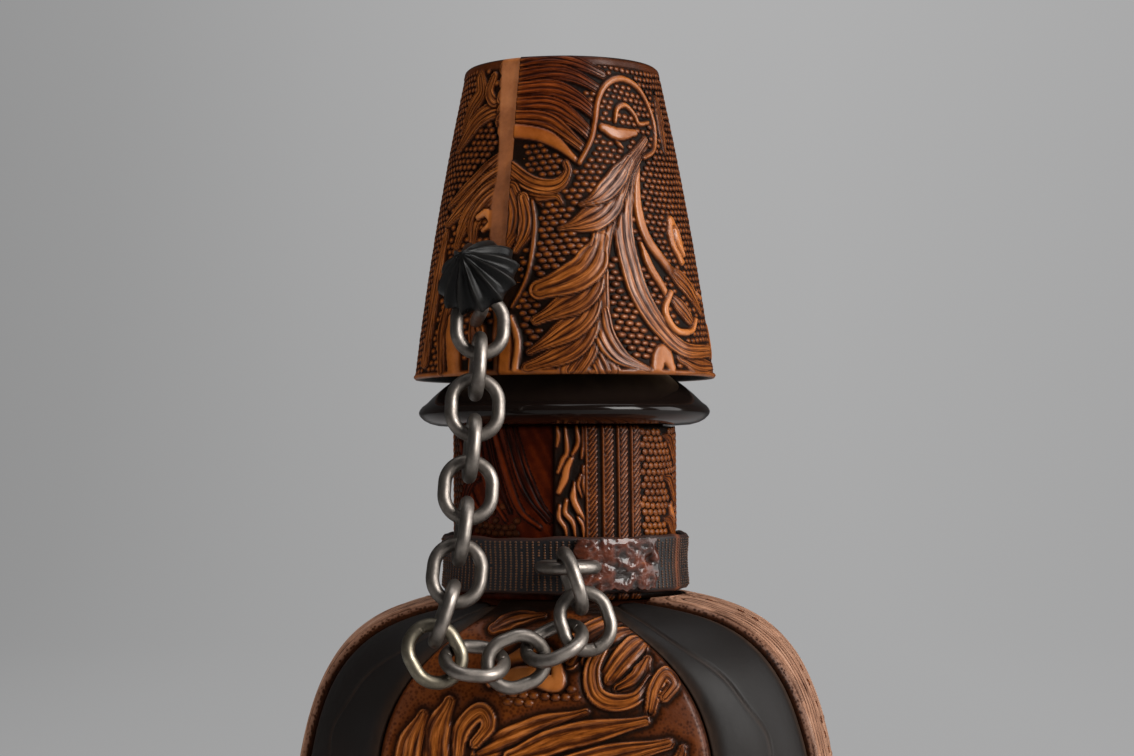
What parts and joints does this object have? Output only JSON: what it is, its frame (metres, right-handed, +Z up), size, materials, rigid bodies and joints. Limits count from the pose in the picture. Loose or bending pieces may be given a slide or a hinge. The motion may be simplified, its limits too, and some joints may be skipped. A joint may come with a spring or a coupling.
{
  "type": "flask",
  "caption": "Leather-covered glass flask with tooled panels, a tall leather-wrapped stopper that lifts out, and a steel tether chain from the stopper stud to the neck collar",
  "frame": {"origin": "centre of the base leather, on the table under the bottle's axis", "axes": "+Z up the bottle's axis, -Y the front with the chain, +X to the right seen from the front"},
  "size_m": [0.0688, 0.0546, 0.2514],
  "materials": {
    "tooled_leather": "semi-gloss, dark antiqued recesses",
    "dark_leather": "smooth, soft sheen",
    "patch_leather": "lacquered, worn",
    "dark_glass": "glossy",
    "core_wood": "raw",
    "cork": "raw cork",
    "steel": "dull, slightly tarnished",
    "black_iron": "black lacquer"
  },
  "bodies": {
    "bottle": {"glass_bottle": "dark_glass", "base_leather": "dark_leather", "panel_front": "tooled_leather", "panel_back": "tooled_leather", "panel_right": "tooled_leather", "panel_left": "tooled_leather", "strip_front_right": "dark_leather", "strip_back_right": "dark_leather", "strip_back_left": "dark_leather", "strip_front_left": "dark_leather", "neck_wrap": "tooled_leather", "neck_collar": "dark_leather", "collar_patch": "patch_leather", "collar_ring": "steel"},
    "stopper": {"stopper_core": "core_wood", "stopper_wrap": "tooled_leather", "stopper_top_disc": "tooled_leather", "cork": "cork", "chain_stud": "black_iron"},
    "link_01": {"chain_link_01": "steel"},
    "link_02": {"chain_link_02": "steel"},
    "link_03": {"chain_link_03": "steel"},
    "link_04": {"chain_link_04": "steel"},
    "link_05": {"chain_link_05": "steel"},
    "link_06": {"chain_link_06": "steel"},
    "link_07": {"chain_link_07": "steel"},
    "link_08": {"chain_link_08": "steel"},
    "link_09": {"chain_link_09": "steel"},
    "link_10": {"chain_link_10": "steel"},
    "link_11": {"chain_link_11": "steel"},
    "link_12": {"chain_link_12": "steel"},
    "link_13": {"chain_link_13": "steel"},
    "link_14": {"chain_link_14": "steel"}
  },
  "joints": [
    {"name": "stopper_lift", "type": "slide", "parent": "bottle", "child": "stopper", "axis": [0, 0, 1], "range_m": [0, 0.015]},
    {"name": "hinge_01", "type": "hinge", "parent": "stopper", "child": "link_01", "pos_m": [-0.00725, -0.01992, 0.2194], "axis": [0.9657, 0.2597, 0], "range_deg": [-20, 20]},
    {"name": "hinge_02", "type": "hinge", "parent": "link_01", "child": "link_02", "pos_m": [-0.00724, -0.02023, 0.21735], "axis": [0.2568, -0.9552, 0.1473], "range_deg": [-60, 60]},
    {"name": "hinge_03", "type": "hinge", "parent": "link_02", "child": "link_03", "pos_m": [-0.00763, -0.02162, 0.20907], "axis": [0.2568, -0.9552, 0.1473], "range_deg": [-60, 60]},
    {"name": "hinge_04", "type": "hinge", "parent": "link_03", "child": "link_04", "pos_m": [-0.00764, -0.0218, 0.20789], "axis": [0.2568, -0.9552, 0.1473], "range_deg": [-60, 60]},
    {"name": "hinge_05", "type": "hinge", "parent": "link_04", "child": "link_05", "pos_m": [-0.00817, -0.02322, 0.19962], "axis": [0.2568, -0.9552, 0.1473], "range_deg": [-60, 60]},
    {"name": "hinge_06", "type": "hinge", "parent": "link_05", "child": "link_06", "pos_m": [-0.00823, -0.02342, 0.19844], "axis": [0.2568, -0.9552, 0.1473], "range_deg": [-60, 60]},
    {"name": "hinge_07", "type": "hinge", "parent": "link_06", "child": "link_07", "pos_m": [-0.00918, -0.02494, 0.19024], "axis": [0.2568, -0.9552, 0.1473], "range_deg": [-60, 60]},
    {"name": "hinge_08", "type": "hinge", "parent": "link_07", "child": "link_08", "pos_m": [-0.00929, -0.02515, 0.18906], "axis": [0.2568, -0.9552, 0.1473], "range_deg": [-60, 60]},
    {"name": "hinge_09", "type": "hinge", "parent": "link_08", "child": "link_09", "pos_m": [-0.01177, -0.02702, 0.18125], "axis": [0.2568, -0.9552, 0.1473], "range_deg": [-60, 60]},
    {"name": "hinge_10", "type": "hinge", "parent": "link_09", "child": "link_10", "pos_m": [-0.01118, -0.02702, 0.18021], "axis": [0.2568, -0.9552, 0.1473], "range_deg": [-60, 60]},
    {"name": "hinge_11", "type": "hinge", "parent": "link_10", "child": "link_11", "pos_m": [-0.00307, -0.02496, 0.17948], "axis": [0.2568, -0.9552, 0.1473], "range_deg": [-60, 60]},
    {"name": "hinge_12", "type": "hinge", "parent": "link_11", "child": "link_12", "pos_m": [-0.002, -0.0246, 0.17989], "axis": [0.2568, -0.9552, 0.1473], "range_deg": [-60, 60]},
    {"name": "hinge_13", "type": "hinge", "parent": "link_12", "child": "link_13", "pos_m": [0.00518, -0.02212, 0.18348], "axis": [0.2568, -0.9552, 0.1473], "range_deg": [-60, 60]},
    {"name": "hinge_14", "type": "hinge", "parent": "link_13", "child": "link_14", "pos_m": [0.00481, -0.02204, 0.18462], "axis": [0.2568, -0.9552, 0.1473], "range_deg": [-20, 85]}
  ],
  "couplings": [
    {"joint": "hinge_01", "follows": "stopper_lift", "rad_per_m": 3.5722},
    {"joint": "hinge_02", "follows": "stopper_lift", "rad_per_m": -2.6867},
    {"joint": "hinge_03", "follows": "stopper_lift", "rad_per_m": -2.4839},
    {"joint": "hinge_04", "follows": "stopper_lift", "rad_per_m": 3.7438},
    {"joint": "hinge_05", "follows": "stopper_lift", "rad_per_m": -1.2562},
    {"joint": "hinge_06", "follows": "stopper_lift", "rad_per_m": 5.0992},
    {"joint": "hinge_07", "follows": "stopper_lift", "rad_per_m": -1.2905},
    {"joint": "hinge_08", "follows": "stopper_lift", "rad_per_m": 15.99},
    {"joint": "hinge_09", "follows": "stopper_lift", "rad_per_m": -53.47},
    {"joint": "hinge_10", "follows": "stopper_lift", "rad_per_m": -22.623},
    {"joint": "hinge_11", "follows": "stopper_lift", "rad_per_m": -4.7692},
    {"joint": "hinge_12", "follows": "stopper_lift", "rad_per_m": 13.852},
    {"joint": "hinge_13", "follows": "stopper_lift", "rad_per_m": -37.292},
    {"joint": "hinge_14", "follows": "stopper_lift", "rad_per_m": 86.167}
  ]
}
